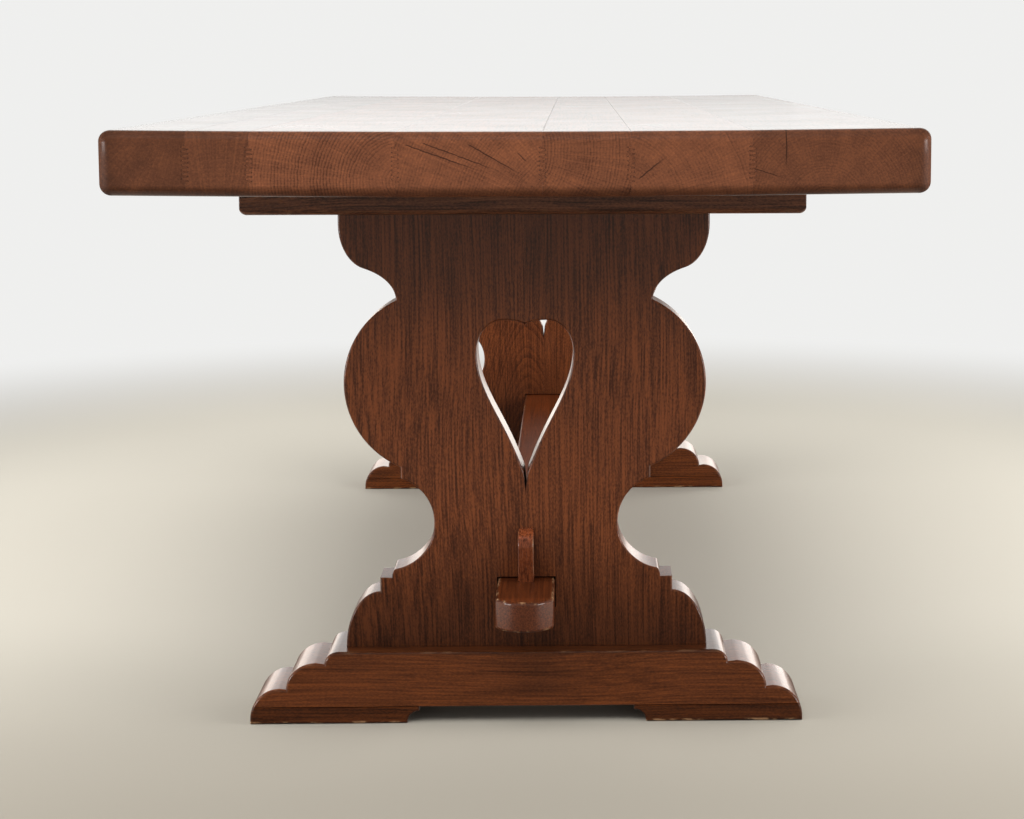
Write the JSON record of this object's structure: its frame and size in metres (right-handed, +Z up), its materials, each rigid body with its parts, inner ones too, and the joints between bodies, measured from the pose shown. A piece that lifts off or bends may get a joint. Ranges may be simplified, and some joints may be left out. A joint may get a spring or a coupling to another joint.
{
  "type": "trestle table",
  "caption": "Long oak trestle table with a thick glued-board top on shaped trestles with heart cut-outs, tied by a stretcher whose through-tenons are locked by lift-out wedges.",
  "frame": {"origin": "centre of the table's footprint, on the floor", "axes": "+Z up, +Y along the table's length from the near to the far end, +X across its width"},
  "size_m": [0.924, 2, 0.772],
  "materials": {
    "top_oak": "stained reddish-brown oak, satin to glossy lacquer",
    "cleat_oak": "stained dark brown oak, satin lacquer",
    "trestle_oak": "stained brown oak, satin lacquer",
    "foot_oak": "stained brown oak, satin lacquer, worn along its lower edges",
    "stretcher_oak": "stained reddish-brown oak, glossy lacquer",
    "wedge_oak": "stained reddish-brown oak, glossy lacquer, worn arrises",
    "screw_steel": "dull zinc"
  },
  "bodies": {
    "table": {"top_board_1": "top_oak", "top_board_2": "top_oak", "top_board_3": "top_oak", "top_board_4": "top_oak", "top_board_5": "top_oak", "top_board_6": "top_oak", "top_board_7": "top_oak", "near_cleat": "cleat_oak", "near_trestle_board_left": "trestle_oak", "near_trestle_board_right": "trestle_oak", "near_foot": "foot_oak", "near_foot_pad_left": "foot_oak", "near_foot_pad_right": "foot_oak", "near_cleat_screw_1": "screw_steel", "near_cleat_screw_2": "screw_steel", "near_cleat_screw_3": "screw_steel", "near_cleat_screw_4": "screw_steel", "far_cleat": "cleat_oak", "far_trestle_board_left": "trestle_oak", "far_trestle_board_right": "trestle_oak", "far_foot": "foot_oak", "far_foot_pad_left": "foot_oak", "far_foot_pad_right": "foot_oak", "far_cleat_screw_1": "screw_steel", "far_cleat_screw_2": "screw_steel", "far_cleat_screw_3": "screw_steel", "far_cleat_screw_4": "screw_steel", "stretcher": "stretcher_oak"},
    "near_wedge": {"near_wedge": "wedge_oak"},
    "far_wedge": {"far_wedge": "wedge_oak"}
  },
  "joints": [
    {"name": "near_wedge_slide", "type": "slide", "parent": "table", "child": "near_wedge", "axis": [0, 0, 1], "range_m": [0, 0.06]},
    {"name": "far_wedge_slide", "type": "slide", "parent": "table", "child": "far_wedge", "axis": [0, 0, 1], "range_m": [0, 0.06]}
  ]
}
